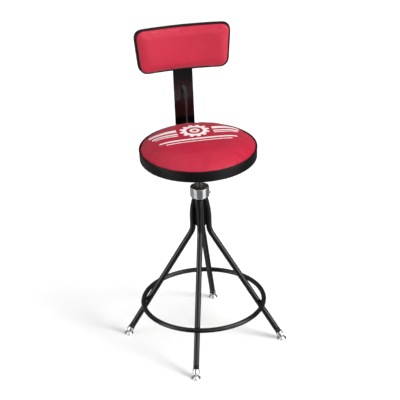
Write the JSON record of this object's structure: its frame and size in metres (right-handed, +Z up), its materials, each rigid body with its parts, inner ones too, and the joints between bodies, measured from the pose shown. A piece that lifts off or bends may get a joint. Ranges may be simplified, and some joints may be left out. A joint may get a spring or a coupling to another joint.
{
  "type": "drafting chair",
  "caption": "Round screw-height drafting stool: padded swivel seat, padded backrest on a flat bar, splayed bent tube legs with an outer foot ring and swivel glides.",
  "frame": {"origin": "on the floor, on the swivel axis, in the middle of the four glides", "axes": "+Z up along the swivel axis, the sitter faces -Y at rest, +X to the right in a view from the front"},
  "size_m": [0.5302, 0.5302, 1.0493],
  "materials": {
    "black_enamel": "gloss",
    "chrome": "polished",
    "zinc": "plated",
    "oiled_steel": "black oxide",
    "brass": "turned",
    "red_vinyl": "grained vinyl",
    "black_vinyl": "grained vinyl",
    "plywood": "bare",
    "foam": "open cell"
  },
  "bodies": {
    "base": {"leg_front": "black_enamel", "leg_right": "black_enamel", "leg_back": "black_enamel", "leg_left": "black_enamel", "foot_ring": "black_enamel", "hub_tube": "black_enamel", "collar": "chrome", "thread_nut": "oiled_steel", "ferrule_front": "chrome", "ferrule_right": "chrome", "ferrule_back": "chrome", "ferrule_left": "chrome", "glide_stud_front": "zinc", "glide_stud_right": "zinc", "glide_stud_back": "zinc", "glide_stud_left": "zinc"},
    "glide_front": {"glide_base_front": "chrome"},
    "glide_right": {"glide_base_right": "chrome"},
    "glide_back": {"glide_base_back": "chrome"},
    "glide_left": {"glide_base_left": "chrome"},
    "lock_slider": {"lock_pad": "brass"},
    "lock_knob": {"lock_screw": "chrome"},
    "carriage": {"ball_cage": "zinc"},
    "spindle": {"spindle_screw": "oiled_steel", "stop_washer": "oiled_steel", "lower_race": "oiled_steel", "pivot_nut": "zinc"},
    "seat": {"back_bar": "black_enamel", "backrest_band": "black_vinyl", "backrest_board": "plywood", "backrest_bolt_1": "zinc", "backrest_bolt_2": "zinc", "backrest_cover": "red_vinyl", "backrest_foam": "foam", "backrest_panel": "black_vinyl", "backrest_tee_nut_1": "zinc", "backrest_tee_nut_2": "zinc", "backrest_welt": "black_vinyl", "bar_bolt_1": "zinc", "bar_bolt_2": "zinc", "bar_tee_nut_1": "zinc", "bar_tee_nut_2": "zinc", "plate_bolt_1": "zinc", "plate_bolt_2": "zinc", "plate_bolt_3": "zinc", "plate_bolt_4": "zinc", "plate_tee_nut_1": "zinc", "plate_tee_nut_2": "zinc", "plate_tee_nut_3": "zinc", "plate_tee_nut_4": "zinc", "seat_band": "black_vinyl", "seat_board": "plywood", "seat_cover": "red_vinyl", "seat_foam": "foam", "seat_welt": "black_vinyl", "swivel_cup": "black_enamel", "swivel_plate": "black_enamel"}
  },
  "joints": [
    {"name": "glide_tilt_front", "type": "hinge", "parent": "base", "child": "glide_front", "pos_m": [-0.08127, -0.25013, 0.0085], "axis": [0.9511, -0.309, 0], "range_deg": [-10, 10]},
    {"name": "glide_tilt_right", "type": "hinge", "parent": "base", "child": "glide_right", "pos_m": [0.25013, -0.08127, 0.0085], "axis": [0.309, 0.9511, 0], "range_deg": [-10, 10]},
    {"name": "glide_tilt_back", "type": "hinge", "parent": "base", "child": "glide_back", "pos_m": [0.08127, 0.25013, 0.0085], "axis": [-0.9511, 0.309, 0], "range_deg": [-10, 10]},
    {"name": "glide_tilt_left", "type": "hinge", "parent": "base", "child": "glide_left", "pos_m": [-0.25013, 0.08127, 0.0085], "axis": [-0.309, -0.9511, 0], "range_deg": [-10, 10]},
    {"name": "lock_travel", "type": "slide", "parent": "base", "child": "lock_slider", "axis": [0.9833, -0.1822, 0], "range_m": [0, 0.004]},
    {"name": "lock_turn", "type": "hinge", "parent": "lock_slider", "child": "lock_knob", "pos_m": [0, 0, 0.5487], "axis": [0.9833, -0.1822, 0], "range_deg": [-10, 1030]},
    {"name": "seat_height", "type": "slide", "parent": "base", "child": "carriage", "axis": [0, 0, 1], "range_m": [-0.057, 0.07]},
    {"name": "spindle_turn", "type": "hinge", "parent": "carriage", "child": "spindle", "pos_m": [0, 0, 0.5], "axis": [0, 0, 1], "range_deg": [-3260, 4000]},
    {"name": "seat_swivel", "type": "hinge", "parent": "carriage", "child": "seat", "pos_m": [0, 0, 0.66], "axis": [0, 0, 1], "continuous": true}
  ],
  "couplings": [
    {"joint": "lock_turn", "follows": "lock_travel", "rad_per_m": 4453},
    {"joint": "spindle_turn", "follows": "seat_height", "rad_per_m": 989.48}
  ]
}
